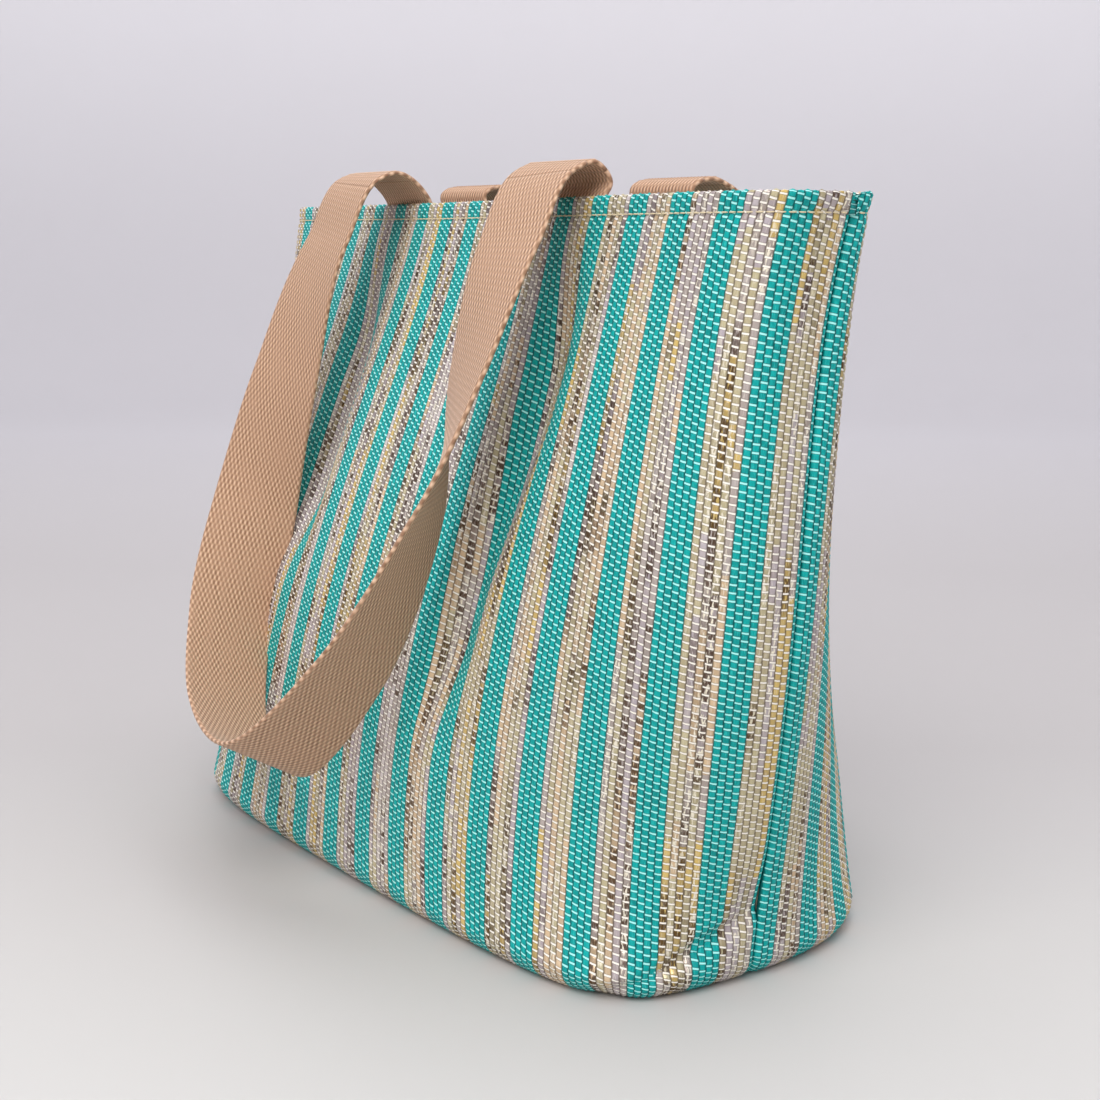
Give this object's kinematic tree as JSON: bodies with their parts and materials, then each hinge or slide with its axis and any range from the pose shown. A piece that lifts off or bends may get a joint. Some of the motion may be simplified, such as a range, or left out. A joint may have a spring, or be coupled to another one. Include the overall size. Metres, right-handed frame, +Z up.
{
  "type": "tote bag",
  "caption": "Soft open-topped tote bag of striped woven cloth with boxed corners, a plain lining and webbing shoulder handles sewn in at the rim.",
  "frame": {"origin": "middle of the base, on the surface the bag stands on", "axes": "+Z up; -Y towards the front panel; +X to the right seen from the front"},
  "size_m": [0.3902, 0.2554, 0.2768],
  "materials": {
    "striped_cloth": "coarse woven cloth with turquoise stripes between bands of metallic, beige and brown yarns",
    "lining_cotton": "plain matte cotton",
    "cotton_webbing": "matte ribbed cotton webbing",
    "sewing_thread": "matte spun thread"
  },
  "bodies": {
    "bag": {"outer_front_panel": "striped_cloth", "outer_back_panel": "striped_cloth", "lining_front_panel": "lining_cotton", "lining_back_panel": "lining_cotton", "rim_topstitch": "sewing_thread", "front_handle_left_end": "cotton_webbing", "front_handle_right_end": "cotton_webbing", "back_handle_left_end": "cotton_webbing", "back_handle_right_end": "cotton_webbing"},
    "front_rise": {"front_handle_rise": "cotton_webbing"},
    "front_bend": {"front_handle_bend": "cotton_webbing"},
    "front_handle": {"front_handle_loop": "cotton_webbing"},
    "back_rise": {"back_handle_rise": "cotton_webbing"},
    "back_bend": {"back_handle_bend": "cotton_webbing"},
    "back_handle": {"back_handle_loop": "cotton_webbing"}
  },
  "joints": [
    {"name": "front_rise_turn", "type": "hinge", "parent": "bag", "child": "front_rise", "pos_m": [0.006, -0.0161, 0.269], "axis": [-1, 0, 0], "range_deg": [0, 50]},
    {"name": "front_bend_turn", "type": "hinge", "parent": "front_rise", "child": "front_bend", "pos_m": [0.006, -0.02581, 0.27605], "axis": [-1, 0, 0], "range_deg": [0, 50]},
    {"name": "front_handle_lift", "type": "hinge", "parent": "front_bend", "child": "front_handle", "pos_m": [0.006, -0.0325, 0.27401], "axis": [-1, 0, 0], "range_deg": [0, 50]},
    {"name": "back_rise_turn", "type": "hinge", "parent": "bag", "child": "back_rise", "pos_m": [0.006, 0.0161, 0.269], "axis": [1, 0, 0], "range_deg": [0, 50]},
    {"name": "back_bend_turn", "type": "hinge", "parent": "back_rise", "child": "back_bend", "pos_m": [0.006, 0.02581, 0.27605], "axis": [1, 0, 0], "range_deg": [0, 50]},
    {"name": "back_handle_lift", "type": "hinge", "parent": "back_bend", "child": "back_handle", "pos_m": [0.006, 0.0325, 0.27401], "axis": [1, 0, 0], "range_deg": [0, 50]}
  ],
  "couplings": [
    {"joint": "front_rise_turn", "follows": "front_handle_lift", "ratio": 1},
    {"joint": "front_bend_turn", "follows": "front_handle_lift", "ratio": 1},
    {"joint": "back_rise_turn", "follows": "back_handle_lift", "ratio": 1},
    {"joint": "back_bend_turn", "follows": "back_handle_lift", "ratio": 1}
  ]
}
